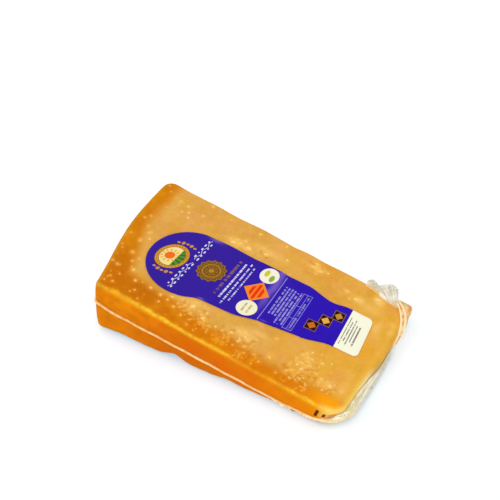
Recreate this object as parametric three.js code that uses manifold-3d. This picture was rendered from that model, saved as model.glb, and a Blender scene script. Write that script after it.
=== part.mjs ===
// A chunk of hard grating cheese, sealed in a clear shrink bag, with a paper label on its upper face.
// Millimetres. +X runs from the thick rind end to the thin end, +Y from the front face to the back
// face, +Z up. The origin is on the resting plane, below the middle of the chunk.

import * as THREE from "three";
import { mergeVertices } from "three/addons/utils/BufferGeometryUtils.js";
import Module from "manifold-3d";

// The chunk: a sector cut from a flat half of a round cheese. Places on it are measured from the foot
// of its front corner at the rind end.
const LENGTH = 205;
const WIDTH = 116;
const FLARE = 5; // the thin end is this much wider than the rind end
const RIND_HEIGHT = 54.3;
const THIN_HEIGHT = 17.6;
const CHEESE_RADIUS = 205; // of the whole round cheese: it curves the rind end in height
const TOP_EDGE_RADIUS = 3.8;
const FOOT_EDGE_RADIUS = 4.6;

// Radii of its upright corners. Those of the thin end are rounder at the foot than at the upper face.
const RIND_FRONT_RADIUS = 3;
const RIND_BACK_RADIUS = 8;
const THIN_FRONT_RADIUS = 10;
const THIN_BACK_RADIUS = 4;
const THIN_FRONT_FOOT_RADIUS = 27;
const THIN_BACK_FOOT_RADIUS = 17;

// The rind end's barrel swell.
const SWELL = 6.9;
const SWELL_MIDDLE = 66;
const SWELL_SPREAD = 50;
const SWELL_REACH = 60; // how far along the chunk its faces follow the swell

// The bag's welded seam: a low ridge round the chunk, parallel to its upper face until it meets the
// ground, which climbs to the ear at the back and crosses the thin end's back corner.
const SEAM_WIDTH = 2;
const SEAM_STAND_OFF = 1;
const SEAM_DROP_AT_RIND = 25;
const SEAM_DROP_AT_THIN_END = 19.5;
const SEAM_LOWEST = 1.4; // along the foot of the thin end
const SEAM_LOWEST_AT_FRONT = 4.2;
const SEAM_FRONT_CORNER_RADIUS = 23;
const SEAM_BACK_CORNER_RADIUS = 15;
const SEAM_CLIMB_START = 140;
const CROSSING_CENTRE = { x: 190, y: 94 };
const CROSSING_REACH = { x: 17, y: 19 };

// The stretched film round the thin end, from its upper edge down to the seam.
const SKIRT_DEPTH = 4.5; // into the chunk, so that both are one body
const SKIRT_BELOW_SEAM = 1.1;
const SKIRT_STAND_OFF = 0.8;
const PLEAT_DEPTH = 0.6;
const PLEAT_PITCH = 9.5;

// The gathered ear of spare film that stands up from the back edge.
const EAR_START = 168;
const EAR_END = 197;
const EAR_HEIGHT = 10;
const EAR_THICKNESS = 2;
const EAR_ROOT = 5; // how deep it sits in the chunk
const EAR_LEAN = 5;

// The label, measured along its own axis from the middle of its round head.
const LABEL_HEAD = { x: 50, y: 56.2 };
const LABEL_TURN = THREE.MathUtils.degToRad(6.4);
const LABEL_HEAD_REACH = 33.2;
const LABEL_HEAD_SKEW = 0.14; // its round end leans to the front by this share
const LABEL_TAIL = 140.5;
const LABEL_CORNER_RADIUS = 4;
const LABEL_THICKNESS = 0.4;
const LABEL_GAP = 0.3;

// Half widths of the label towards the back and the front face: [place along its axis, half width].
const LABEL_BACK_EDGE = [
  [0, 30], [14, 29.8], [46, 27.2], [60, 26.5], [72, 25.1],
  [84, 24.6], [108, 19.3], [119, 20.5], [140.5, 18.8],
];
const LABEL_FRONT_EDGE = [
  [0, 30.4], [18, 26.2], [42, 26.4], [66, 22.6], [96, 21.3], [119, 17], [140.5, 17.6],
];

// Broken flakes that stand out of the upper face, and pits where one is gone.
const CRAGS = [
  { x: 127, y: 105, spread: 6, height: -1.5 },
  { x: 133, y: 110, spread: 5, height: 0.9 },
  { x: 84, y: 108, spread: 7, height: 0.8 },
  { x: 69, y: 24, spread: 7, height: 1 },
  { x: 79, y: 17, spread: 5, height: -1 },
  { x: 104, y: 14, spread: 6, height: 0.9 },
  { x: 118, y: 15, spread: 6, height: -0.9 },
  { x: 152, y: 17, spread: 7, height: -1.1 },
  { x: 164, y: 12, spread: 6, height: 1 },
  { x: 172, y: 26, spread: 6, height: -0.8 },
  { x: 188, y: 19, spread: 6, height: 0.8 },
  { x: 186, y: 97, spread: 8, height: 0.8 },
];

// Places where the foot is broken away: the rounded edge reaches this much deeper.
const FRONT_CHIPS = [
  { at: 20, spread: 12, depth: 2.5 },
  { at: 65, spread: 8, depth: 7 },
  { at: 110, spread: 8, depth: 2.5 },
];
const THIN_END_CHIP = { at: 90, spread: 20, depth: 4 };

// The underside is a trace hollow along its rim: the chunk stands on its flat middle and on one
// place near each corner.
const UNDERSIDE_HOLLOW = 0.35;
const UNDERSIDE_RIM = 24; // how far in from its edges the hollow ends
const RIM_SLOPE = 10; // the width over which it eases into the flat middle
const FEET = [{ x: 15, y: 15 }, { x: 15, y: 101 }, { x: 190, y: 101 }, { x: 183.5, y: 21 }];
const FOOT_REACH = 3;

const wasm = await Module();
wasm.setup();

const bell = (distance, spread) => Math.exp(-((distance / spread) ** 2));
const wave = (place, pitch, phase) => Math.sin((2 * Math.PI * place) / pitch + phase);
const fade = THREE.MathUtils.smoothstep; // (value, from, to): 0 to 1
const mix = THREE.MathUtils.lerp;
const sumOf = (list, term) => list.reduce((sum, item) => sum + term(item), 0);

// Height of the upper face. The cut is flat but for a slight waviness, a front edge that rises near
// the rind and dips past the middle, and the crags.
function upperFace(x, y) {
  const cut = mix(RIND_HEIGHT, THIN_HEIGHT, x / LENGTH);
  const frontLift = 1.7 * bell(x - 36, 28) - 1.2 * bell(x - 124, 24);
  const atFrontEdge = 1 - fade(y, 2, 24);
  const waviness = 0.35 * wave(x, 88, 0.6) * wave(y, 97, 1.1);
  const crags = sumOf(CRAGS, (crag) => {
    return crag.height * bell(Math.hypot(x - crag.x, y - crag.y), crag.spread);
  });
  return cut + frontLift * atFrontEdge + waviness + crags;
}

// Takes a point of a straight-sided blank to its place on the real chunk: the rind end swells like
// the side of a barrel, the width grows towards the thin end and the sides wander a little. The
// height is given as a share, from 0 at the foot to 1 at the upper face.
function settle(x, y, share) {
  const sagitta = RIND_HEIGHT ** 2 / (8 * CHEESE_RADIUS);
  const swell = SWELL * bell(y - SWELL_MIDDLE, SWELL_SPREAD) + 4 * sagitta * share * (1 - share);
  const atRind = 1 - fade(x, 0, SWELL_REACH);
  const upperWander = 0.8 + 2 * fade(y, 46, 78);
  const footWander = 2.2 - 2.6 * fade(y, 50, 95);
  const endWander = mix(footWander, upperWander, share);
  const atThinEnd = fade(x, LENGTH - SWELL_REACH, LENGTH);
  const backWander = 1.7 + 0.25 * wave(x, 37, 1) - 0.9 * bell(x - 107, 8) + 1.2 * fade(x, 182, 200);
  const width = WIDTH + FLARE * (x / LENGTH - 0.5) + backWander;
  const placeX = x - swell * atRind + endWander * atThinEnd;
  const placeY = (y / WIDTH) * width;
  return new THREE.Vector3(placeX, placeY, share * upperFace(placeX, placeY));
}

// A box geometry with every vertex moved to a new place. The function gets each vertex as shares,
// 0 to 1, along the box's three edges.
function reshape(cellsX, cellsY, cellsZ, place) {
  const box = new THREE.BoxGeometry(1, 1, 1, cellsX, cellsY, cellsZ);
  const position = box.getAttribute("position");
  for (let i = 0; i < position.count; i++) {
    const moved = place(position.getX(i) + 0.5, position.getY(i) + 0.5, position.getZ(i) + 0.5);
    position.setXYZ(i, moved.x, moved.y, moved.z);
  }
  return box;
}

// A closed geometry as a solid that can be joined to others.
function solid(geometry) {
  geometry.deleteAttribute("normal");
  geometry.deleteAttribute("uv");
  const merged = mergeVertices(geometry, 1e-4);
  const mesh = new wasm.Mesh({
    numProp: 3,
    vertProperties: merged.getAttribute("position").array,
    triVerts: new Uint32Array(merged.index.array),
  });
  return new wasm.Manifold(mesh);
}

// A solid as a geometry again.
function geometryOf(joined) {
  const mesh = joined.getMesh();
  const geometry = new THREE.BufferGeometry();
  geometry.setAttribute("position", new THREE.BufferAttribute(mesh.vertProperties, 3));
  geometry.setIndex(new THREE.BufferAttribute(mesh.triVerts, 1));
  geometry.computeVertexNormals();
  return geometry;
}

// Grid lines along an edge of the blank: close ones where its edges are rounded, even ones between.
function gridLine(share, cells, length, edgeLines) {
  const index = Math.round(share * cells);
  const last = edgeLines.length - 1;
  if (index <= last) return edgeLines[index];
  if (cells - index <= last) return length - edgeLines[cells - index];
  const margin = edgeLines[last];
  return margin + ((length - 2 * margin) * (index - last)) / (cells - 2 * last);
}

// Pulls a point of a square corner onto a round one. Both offsets run from the arc's centre.
function roundOff(a, b) {
  const length = Math.hypot(a, b);
  const scale = length > 0 ? Math.max(a, b) / length : 1;
  return [a * scale, b * scale];
}

// How far the rounded foot reaches into the chunk, chips and all.
function footRadius(x, y) {
  const frontChips = sumOf(FRONT_CHIPS, (chip) => chip.depth * bell(x - chip.at, chip.spread));
  const endChip = THIN_END_CHIP.depth * bell(y - THIN_END_CHIP.at, THIN_END_CHIP.spread);
  const atFront = 1 - fade(y, 20, 40);
  const atThinEnd = fade(x, LENGTH - 40, LENGTH - 20);
  return FOOT_EDGE_RADIUS + frontChips * atFront + endChip * atThinEnd;
}

// How far the underside stands off the ground.
function undersideHollow(x, y) {
  const onFoot = FEET.some((foot) => Math.hypot(x - foot.x, y - foot.y) < FOOT_REACH);
  const inset = Math.min(x, LENGTH - x, y, WIDTH - y);
  return onFoot ? 0 : UNDERSIDE_HOLLOW * (1 - fade(inset, UNDERSIDE_RIM - RIM_SLOPE, UNDERSIDE_RIM));
}

function cornerRadius(atRind, atFront, share) {
  if (atRind) return atFront ? RIND_FRONT_RADIUS : RIND_BACK_RADIUS;
  return atFront
    ? mix(THIN_FRONT_FOOT_RADIUS, THIN_FRONT_RADIUS, share)
    : mix(THIN_BACK_FOOT_RADIUS, THIN_BACK_RADIUS, share);
}

// The cheese in its tight film: a wedge-shaped block with rounded corners and edges.
function chunkGeometry() {
  const cells = { x: 36, y: 22, z: 6 };
  const planLines = [0, 1.6, 4.2, 9];
  const heightLines = [0, 1.8, 4.6];
  return reshape(cells.x, cells.y, cells.z, (shareX, shareY, shareZ) => {
    const x = gridLine(shareX, cells.x, LENGTH, planLines);
    const y = gridLine(shareY, cells.y, WIDTH, planLines);
    const height = upperFace(x, y);
    const z = gridLine(shareZ, cells.z, height, heightLines);

    const atRind = x < LENGTH / 2;
    const atFront = y < WIDTH / 2;
    const atTop = z > height / 2;
    let fromEnd = atRind ? x : LENGTH - x;
    let fromSide = atFront ? y : WIDTH - y;
    let fromFace = atTop ? height - z : z;

    // Rounds the edges of the upper face and the foot: a point near one moves in and off its face.
    const edgeRadius = atTop ? TOP_EDGE_RADIUS : footRadius(x, y);
    const inset = Math.min(fromEnd, fromSide);
    let pull = 0;
    if (inset < edgeRadius && fromFace < edgeRadius) {
      const [across, off] = roundOff(edgeRadius - inset, edgeRadius - fromFace);
      pull = edgeRadius - across - inset;
      fromFace = edgeRadius - off;
    }

    // Rounds the upright corners.
    const radius = cornerRadius(atRind, atFront, z / height);
    const reach = radius - inset;
    if (fromEnd < radius && fromSide < radius) {
      const shrink = (reach - pull) / reach;
      const [alongEnd, alongSide] = roundOff((radius - fromEnd) * shrink, (radius - fromSide) * shrink);
      fromEnd = radius - alongEnd;
      fromSide = radius - alongSide;
    } else if (fromEnd < fromSide) {
      fromEnd += pull;
    } else {
      fromSide += pull;
    }
    const share = (atTop ? height - fromFace : fromFace) / height;
    const placed = settle(
      atRind ? fromEnd : LENGTH - fromEnd,
      atFront ? fromSide : WIDTH - fromSide,
      share,
    );
    placed.z += undersideHollow(x, y) * (1 - share) ** 3;
    return placed;
  });
}

// Plan stations round the blank: a chain of straight runs and quarter-circle corners, each station
// with the direction that points out of the chunk there. The chain runs anticlockwise from above.
function stationsAlong(path, arcCells) {
  const repeated = (point, i, all) => i > 0 && point.distanceTo(all[i - 1]) < 0.01;
  const points = path.getPoints(arcCells / 2).filter((...entry) => !repeated(...entry));
  return points.map((point, i) => {
    const before = points[Math.max(i - 1, 0)];
    const after = points[Math.min(i + 1, points.length - 1)];
    const along = after.clone().sub(before).normalize();
    return { point, out: new THREE.Vector2(along.y, -along.x) };
  });
}

function runTo(path, x, y, cells) {
  const start = path.currentPoint.clone();
  const end = new THREE.Vector2(x, y);
  for (let i = 1; i <= cells; i++) {
    const next = start.clone().lerp(end, i / cells);
    path.lineTo(next.x, next.y);
  }
}

// A closed strip that follows the stations. The section function gets a station and the shares
// through and up the strip, and says how far out and how high that point lies.
function stripGeometry(stations, cellsUp, section) {
  const last = stations.length - 1;
  return reshape(last, 1, cellsUp, (along, through, up) => {
    const station = stations[Math.round(along * last)];
    const { out, z } = section(station, 1 - through, up, along);
    const x = station.point.x + station.out.x * out;
    const y = station.point.y + station.out.y * out;
    return settle(x, y, 0).setZ(z);
  });
}

// Height of the seam: parallel to the upper face, and never below the ground.
function seamHeight(x, y) {
  const cut = mix(RIND_HEIGHT, THIN_HEIGHT, x / LENGTH);
  const drop = mix(SEAM_DROP_AT_RIND, SEAM_DROP_AT_THIN_END, x / LENGTH) - 2.4 * bell(x, 9);
  const lowest = mix(SEAM_LOWEST_AT_FRONT, SEAM_LOWEST, fade(y, 4, 45));
  const over = cut - drop - lowest;
  const softness = 2;
  return lowest + (over + Math.hypot(over, softness)) / 2 - softness / 4;
}

// The seam from the ear along the back face, round the rind end, along the front face and across
// the foot of the thin end.
function seamGeometry() {
  const radius = SEAM_FRONT_CORNER_RADIUS;
  const path = new THREE.Path();
  path.moveTo(EAR_END - 8, WIDTH);
  runTo(path, RIND_BACK_RADIUS, WIDTH, 18);
  path.absarc(RIND_BACK_RADIUS, WIDTH - RIND_BACK_RADIUS, RIND_BACK_RADIUS, Math.PI / 2, Math.PI);
  runTo(path, 0, RIND_FRONT_RADIUS, 12);
  path.absarc(RIND_FRONT_RADIUS, RIND_FRONT_RADIUS, RIND_FRONT_RADIUS, Math.PI, 1.5 * Math.PI);
  runTo(path, LENGTH - radius, 0, 16);
  path.absarc(LENGTH - radius, radius, radius, -Math.PI / 2, 0);
  runTo(path, LENGTH, CROSSING_CENTRE.y - 6, 8);
  return stripGeometry(stationsAlong(path, 4), 1, ({ point }, outward, up) => {
    const atBack = fade(point.y, WIDTH - 20, WIDTH);
    const climb = fade(point.x, SEAM_CLIMB_START, EAR_END - 8) * atBack;
    const onEdge = upperFace(point.x, point.y) - TOP_EDGE_RADIUS;
    const middle = mix(seamHeight(point.x, point.y), onEdge, climb);
    const onSkirt = fade(point.x, LENGTH - radius, LENGTH) * SKIRT_STAND_OFF;
    const standOff = SEAM_STAND_OFF + onSkirt;
    const halfWidth = (SEAM_WIDTH / 2) * mix(1, 0.5, outward);
    return { out: mix(-SKIRT_DEPTH, standOff, outward), z: middle + mix(-halfWidth, halfWidth, up) };
  });
}

// The seam where it crosses the thin end's back corner, from the ear over the upper face and down
// the thin end to its foot: part of an ellipse in plan, pressed against the end face.
function crossingGeometry() {
  const count = 14;
  const from = THREE.MathUtils.degToRad(-20);
  const brink = THREE.MathUtils.degToRad(40);
  const to = THREE.MathUtils.degToRad(105);
  return reshape(count, 1, 1, (along, through, up) => {
    const angle = mix(from, to, along);
    const descent = 1 - fade(angle, from, brink);
    const y = CROSSING_CENTRE.y + CROSSING_REACH.y * Math.sin(angle);
    const endFace = settle(LENGTH, y, 1 - descent).x;
    const x = Math.min(CROSSING_CENTRE.x + CROSSING_REACH.x * Math.cos(angle), endFace);
    const ridge = mix(upperFace(x, y) + SEAM_STAND_OFF, SEAM_LOWEST + SEAM_WIDTH / 2, descent);
    const root = mix(ridge - 3.5, SEAM_LOWEST - SEAM_WIDTH / 2, descent);
    const spread = mix(1, -1, through) * (SEAM_WIDTH / 2);
    const placeX = x + spread * Math.cos(angle);
    const placeY = y + spread * Math.sin(angle);
    return new THREE.Vector3(placeX, placeY, mix(root, ridge, up));
  });
}

// The stretched film round the thin end, in shallow upright pleats.
function skirtGeometry() {
  const atFront = SEAM_FRONT_CORNER_RADIUS;
  const atBack = SEAM_BACK_CORNER_RADIUS;
  const path = new THREE.Path();
  path.moveTo(LENGTH - atFront, 0);
  path.absarc(LENGTH - atFront, atFront, atFront, -Math.PI / 2, 0);
  runTo(path, LENGTH, WIDTH - atBack, 28);
  path.absarc(LENGTH - atBack, WIDTH - atBack, atBack, 0, Math.PI / 2);
  return stripGeometry(stationsAlong(path, 8), 3, ({ point, out }, outward, up, along) => {
    const bottom = seamHeight(point.x, point.y) - SKIRT_BELOW_SEAM;
    const face = upperFace(point.x, point.y);
    const z = mix(bottom, face - 0.6 * TOP_EDGE_RADIUS, up);
    // The chunk's corner is rounder at its foot than the path, and less round above.
    const cornerShare = Math.abs(out.x) + Math.abs(out.y) - 1;
    const front = point.y < WIDTH / 2;
    const cornerFill = ((front ? atFront : atBack) - cornerRadius(false, front, z / face)) * cornerShare;
    const run = point.x + point.y;
    const pleats = PLEAT_DEPTH * wave(run, PLEAT_PITCH, 0) * wave(run, 3.3 * PLEAT_PITCH, 1);
    const atEnds = fade(along, 0, 0.12) * (1 - fade(along, 0.7, 1));
    const outside = mix(SKIRT_STAND_OFF, -0.4, up * up) + pleats * (1 - 0.6 * up);
    return { out: cornerFill + mix(-SKIRT_DEPTH, mix(-1.2, outside, atEnds), outward), z };
  });
}

// The ear: a crumpled fin of spare film, highest near the corner.
function earGeometry() {
  return reshape(11, 1, 4, (along, through, up) => {
    const x = mix(EAR_START, EAR_END, along);
    const backFace = settle(x, WIDTH, 1).y;
    const inward = mix(2.2, 5.5, fade(x, 180, EAR_END));
    const outline = 0.3 + 0.55 * fade(along, 0, 0.7) - 0.5 * fade(along, 0.84, 1);
    const crown = outline + 0.2 * wave(along, 0.55, 0.2);
    const rise = mix(-EAR_ROOT, EAR_HEIGHT * Math.max(crown, 0.12), up);
    const share = Math.max(rise, 0) / EAR_HEIGHT;
    const crumple = 0.9 * wave(along + 0.3 * share, 0.29, 0.4) * share;
    const thickness = EAR_THICKNESS * mix(1, 0.6, share);
    const y = backFace - inward + EAR_LEAN * share ** 1.5 + crumple + (through - 0.5) * thickness;
    return new THREE.Vector3(x, y, upperFace(x, Math.min(y, WIDTH)) + rise);
  });
}

// Half width of the label at a place along its axis, eased between the stations of one edge.
function labelHalfWidth(edge, s) {
  if (s <= 0) return edge[0][1] * Math.sqrt(1 - (s / LABEL_HEAD_REACH) ** 2);
  const next = edge.findIndex(([place]) => place >= s);
  const [fromPlace, fromWidth] = edge[next - 1];
  const [toPlace, toWidth] = edge[next];
  return mix(fromWidth, toWidth, fade(s, fromPlace, toPlace));
}

// The label: a thin sheet on the film, with a round head, a waist and a square tail.
function labelGeometry() {
  const cells = { along: 36, across: 8 };
  const headCells = 9;
  const tailCells = 2;
  return reshape(cells.along, cells.across, 1, (shareAlong, shareAcross, up) => {
    // Stations crowd together round the head and at the tail's rounded corners.
    const index = Math.round(shareAlong * cells.along);
    const headAngle = mix(Math.PI / 36, Math.PI / 2, Math.min(index / headCells, 1));
    const bodyShare = (index - headCells) / (cells.along - headCells - tailCells);
    const bodyEnd = LABEL_TAIL - LABEL_CORNER_RADIUS;
    const tailAngle = (Math.max(index - (cells.along - tailCells), 0) / tailCells) * (Math.PI / 2);
    let s = mix(0, bodyEnd, THREE.MathUtils.clamp(bodyShare, 0, 1));
    if (index < headCells) s = -LABEL_HEAD_REACH * Math.cos(headAngle);
    if (tailAngle > 0) s = bodyEnd + LABEL_CORNER_RADIUS * Math.sin(tailAngle);
    const trim = LABEL_CORNER_RADIUS * (1 - Math.cos(tailAngle));
    const toFront = labelHalfWidth(LABEL_FRONT_EDGE, s) - trim;
    const toBack = labelHalfWidth(LABEL_BACK_EDGE, s) - trim;
    const t = mix(-toFront, toBack, shareAcross) + LABEL_HEAD_SKEW * Math.min(s, 0);
    const x = LABEL_HEAD.x + s * Math.cos(LABEL_TURN) - t * Math.sin(LABEL_TURN);
    const y = LABEL_HEAD.y + s * Math.sin(LABEL_TURN) + t * Math.cos(LABEL_TURN);
    return new THREE.Vector3(x, y, upperFace(x, y) + LABEL_GAP + LABEL_THICKNESS * up);
  });
}

const cheeseInFilm = new THREE.MeshStandardMaterial({ color: "#e5a94f", roughness: 0.3, metalness: 0 });
const printedPaper = new THREE.MeshStandardMaterial({ color: "#331d98", roughness: 0.35, metalness: 0 });

function sealedBag() {
  const joined = solid(chunkGeometry())
    .add(solid(seamGeometry()))
    .add(solid(crossingGeometry()))
    .add(solid(skirtGeometry()))
    .add(solid(earGeometry()));
  const mesh = new THREE.Mesh(geometryOf(joined), cheeseInFilm);
  mesh.name = "sealed_bag";
  return mesh;
}

function label() {
  const mesh = new THREE.Mesh(labelGeometry(), printedPaper);
  mesh.name = "label";
  return mesh;
}

const pack = new THREE.Group();
pack.add(sealedBag(), label());
pack.position.set(-LENGTH / 2, -WIDTH / 2, 0);

const part = new THREE.Group();
part.add(pack);
export default part;
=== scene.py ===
import math
import random

import bmesh
import bpy
import numpy as np
from mathutils import Matrix, Vector, noise


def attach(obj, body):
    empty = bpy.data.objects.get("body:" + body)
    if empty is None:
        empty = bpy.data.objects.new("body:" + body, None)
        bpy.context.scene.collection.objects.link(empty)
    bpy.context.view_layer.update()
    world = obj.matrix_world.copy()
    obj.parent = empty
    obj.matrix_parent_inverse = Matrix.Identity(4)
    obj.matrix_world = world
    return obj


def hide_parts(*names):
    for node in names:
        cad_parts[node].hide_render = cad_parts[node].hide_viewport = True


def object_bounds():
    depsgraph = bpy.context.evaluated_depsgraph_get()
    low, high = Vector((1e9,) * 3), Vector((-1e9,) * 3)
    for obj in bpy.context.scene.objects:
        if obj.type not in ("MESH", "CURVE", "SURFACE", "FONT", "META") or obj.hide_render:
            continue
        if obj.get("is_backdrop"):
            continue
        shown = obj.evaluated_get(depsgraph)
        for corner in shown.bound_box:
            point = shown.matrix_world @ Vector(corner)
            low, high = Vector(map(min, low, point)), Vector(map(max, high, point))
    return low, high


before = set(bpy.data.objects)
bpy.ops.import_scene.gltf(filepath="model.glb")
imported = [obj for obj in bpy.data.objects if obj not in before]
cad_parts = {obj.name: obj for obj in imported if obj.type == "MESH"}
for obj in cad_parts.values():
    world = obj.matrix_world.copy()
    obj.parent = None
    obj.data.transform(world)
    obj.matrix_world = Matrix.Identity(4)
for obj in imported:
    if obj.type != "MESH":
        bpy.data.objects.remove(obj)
cad_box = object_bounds()


# ---------------------------------------------------------------------------------------------
# The cheese: a sector sawn from a flat half of a round, long-aged hard cheese. The thick end and
# the front face carry the oiled rind, the other faces are sawn paste that breaks in grainy flakes.
# Lengths are millimetres from the foot of the front corner at the rind end.

LENGTH = 205
WIDTH = 116
FLARE = 5  # the thin end is this much wider than the rind end
RIND_HEIGHT = 54.3
THIN_HEIGHT = 17.6
CHEESE_RADIUS = 205
TOP_EDGE_RADIUS = 3.8
FOOT_EDGE_RADIUS = 4.6
RIND_FRONT_RADIUS = 3
RIND_BACK_RADIUS = 8
THIN_FRONT_RADIUS = 10
THIN_BACK_RADIUS = 4
THIN_FRONT_FOOT_RADIUS = 27
THIN_BACK_FOOT_RADIUS = 17
SWELL = 6.9
SWELL_MIDDLE = 66
SWELL_SPREAD = 50
SWELL_REACH = 60
SEAM_WIDTH = 1.6
SEAM_STAND_OFF = 1
SEAM_DROP_AT_RIND = 25
SEAM_DROP_AT_THIN_END = 19.5
SEAM_LOWEST = 1.4
SEAM_LOWEST_AT_FRONT = 4.2
FILM_GAP = 0.25  # from the paste to the outside of the tight film
END_RETREAT = 4.5  # how far the foot of the thin end stays behind the stretched film
GROOVE_DEPTH = 0.3  # how deep the seam presses into the rind

FRONT_LIFTS = [(36, 28, 1.7), (124, 24, -1.2)]  # x, spread, height: where the front edge rides up or dips
FRONT_LIFT_REACH = 24

# Broken places of the upper face: flakes that stand out, and pits where one is gone.
CRAGS = [  # x, y, spread, height
    (127, 105, 6, -1.5), (133, 110, 5, 0.9), (84, 108, 7, 0.8), (69, 24, 7, 1), (79, 17, 5, -1),
    (104, 14, 6, 0.9), (118, 15, 6, -0.9), (152, 17, 7, -1.1), (164, 12, 6, 1), (172, 26, 6, -0.8),
    (188, 19, 6, 0.8), (186, 97, 8, 0.8),
]
TORN_PLACES = [  # x, y, spread: where the saw left a rough, crumbly face
    (69, 21, 9), (80, 16, 8), (101, 12, 9), (115, 18, 9), (124, 9, 7), (154, 13, 8), (163, 28, 9),
    (166, 12, 7), (173, 22, 6), (185, 19, 6), (127, 107, 5), (133, 108, 4), (72, 95, 6), (90, 97, 5),
]
PALE_PATCHES = [  # x, y, half length, half width, strength: smooth lighter spots of the paste
    (169.4, 100.5, 4.2, 3.2, 0.75), (182.6, 108.6, 4.6, 4, 1.0), (180.5, 98, 9, 5, 0.45),
    (192.7, 86, 2.6, 5, 0.5), (202, 88, 2.2, 2.6, 0.5), (201.3, 94.5, 2.2, 3, 0.4),
    (188, 113.6, 2.6, 1.6, 0.9), (60, 27, 8, 4, 0.45), (112, 25, 9, 4, 0.5), (158, 103, 3, 1.6, 0.5),
    (92, 100, 16, 3, 0.4), (69, 94, 8, 2.2, 0.6), (129, 108.4, 8, 1.8, 0.5), (163, 31, 8, 6, 0.22),
    (196, 24, 4, 14, 0.3), (119.5, 21, 2.6, 5, 0.6), (121, 31, 7, 2.4, 0.45), (73.6, 28, 6, 3, 0.5),
    (165, 23.8, 4.5, 3, 0.45), (186.5, 17.8, 4.5, 3, 0.45),
]
RIND_MARKS = [  # x, height, lean, length, width: two parallel dashes of brown ink on the rind
    (186, 11.4, -0.3, 9, 2.3), (191.4, 9.6, -0.3, 6, 2.3),
]
FRONT_CHIPS = [(20, 12, 2.5), (65, 8, 7), (110, 8, 2.5)]  # x, spread, depth at the foot
THIN_END_CHIP = (90, 20, 4)  # y, spread, depth at the foot
PLAN_LINES = [0, 0.35, 0.8, 1.4, 2.1, 2.9, 3.8, 4.8, 5.9, 7]
HEIGHT_LINES = [0, 0.5, 1.1, 1.8, 2.7, 3.8, 5]
CHUNK_CELLS = (200, 116, 42)

# Where the seam crosses the back corner of the thin end: the centre and half axes of its curve.
CROSSING_CENTRE = (190, 94)
CROSSING_REACH = (16.2, 19.5)

# The label on the upper face: it presses the film and the paste below it flat.
LABEL_HEAD = (50, 56.2)
LABEL_TURN = math.radians(6.4)
LABEL_HEAD_REACH = 33.2
LABEL_HEAD_SKEW = 0.14
LABEL_TAIL = 140.5
LABEL_BACK_EDGE = [
    (0, 30), (14, 29.8), (46, 27.2), (60, 26.5), (72, 25.1), (84, 24.6), (108, 19.3), (119, 20.5),
    (140.5, 18.8),
]
LABEL_FRONT_EDGE = [(0, 30.4), (18, 26.2), (42, 26.4), (66, 22.6), (96, 21.3), (119, 17), (140.5, 17.6)]


def bell(distance, spread):
    return np.exp(-((distance / spread) ** 2))


def wave(place, pitch, phase):
    return np.sin(2 * np.pi * place / pitch + phase)


def fade(value, start, end):
    share = np.clip((value - start) / (end - start), 0, 1)
    return share * share * (3 - 2 * share)


def mix(start, end, share):
    return start + (end - start) * share


def cut_height(x):
    """Height of the sloping upper face where the saw ran true."""
    return mix(RIND_HEIGHT, THIN_HEIGHT, x / LENGTH)


def upper_face(x, y):
    front_lift = sum(height * bell(x - at_x, spread) for at_x, spread, height in FRONT_LIFTS)
    waviness = 0.35 * wave(x, 88, 0.6) * wave(y, 97, 1.1)
    crags = sum(height * bell(np.hypot(x - at_x, y - at_y), spread) for at_x, at_y, spread, height in CRAGS)
    return cut_height(x) + front_lift * (1 - fade(y, 2, FRONT_LIFT_REACH)) + waviness + crags


def settle(x, y, share):
    """Takes a point of a straight-sided blank to its place on the swelling, wandering chunk."""
    sagitta = RIND_HEIGHT**2 / (8 * CHEESE_RADIUS)
    swell = SWELL * bell(y - SWELL_MIDDLE, SWELL_SPREAD) + 4 * sagitta * share * (1 - share)
    at_rind = 1 - fade(x, 0, SWELL_REACH)
    # The thin end's foot runs out at its front corner, and its upper edge at its back corner.
    end_wander = mix(2.2 - 2.6 * fade(y, 50, 95), 0.8 + 2 * fade(y, 46, 78), share)
    at_thin_end = fade(x, LENGTH - SWELL_REACH, LENGTH)
    # The back face waves a little, is nicked in one place and bulges before the thin end.
    back_wander = 1.7 + 0.25 * wave(x, 37, 1) - 0.9 * bell(x - 107, 8) + 1.2 * fade(x, 182, 200)
    width = WIDTH + FLARE * (x / LENGTH - 0.5) + back_wander
    place_x = x - swell * at_rind + end_wander * at_thin_end
    place_y = y / WIDTH * width
    return place_x, place_y, share * upper_face(place_x, place_y)


def beside(x, y, z):
    """Takes a point beside the straight-sided blank along with the chunk's wandering sides."""
    place_x, place_y, _ = settle(x, y, np.clip(z / upper_face(x, y), 0, 1))
    return place_x, place_y, z


def lines_at(share, cells, length, edge_lines):
    """Places of the blank's saw lines: close ones at its edges, even ones between."""
    index = np.rint(share * cells).astype(int)
    lines, last = np.array(edge_lines), len(edge_lines) - 1
    near = lines[np.clip(index, 0, last)]
    far = length - lines[np.clip(cells - index, 0, last)]
    middle = lines[-1] + (length - 2 * lines[-1]) * (index - last) / (cells - 2 * last)
    return np.where(index <= last, near, np.where(cells - index <= last, far, middle))


def round_off(a, b):
    """Pulls points of a square corner onto a round one. Offsets run from the arc's centre."""
    length = np.hypot(a, b)
    scale = np.maximum(a, b) / np.where(length > 0, length, 1)
    return a * scale, b * scale


def foot_radius(x, y):
    chips = sum(depth * bell(x - at, spread) for at, spread, depth in FRONT_CHIPS)
    end_chip = THIN_END_CHIP[2] * bell(y - THIN_END_CHIP[0], THIN_END_CHIP[1])
    at_thin_end = fade(x, LENGTH - 40, LENGTH - 20)
    return FOOT_EDGE_RADIUS + chips * (1 - fade(y, 20, 40)) + end_chip * at_thin_end


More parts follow.
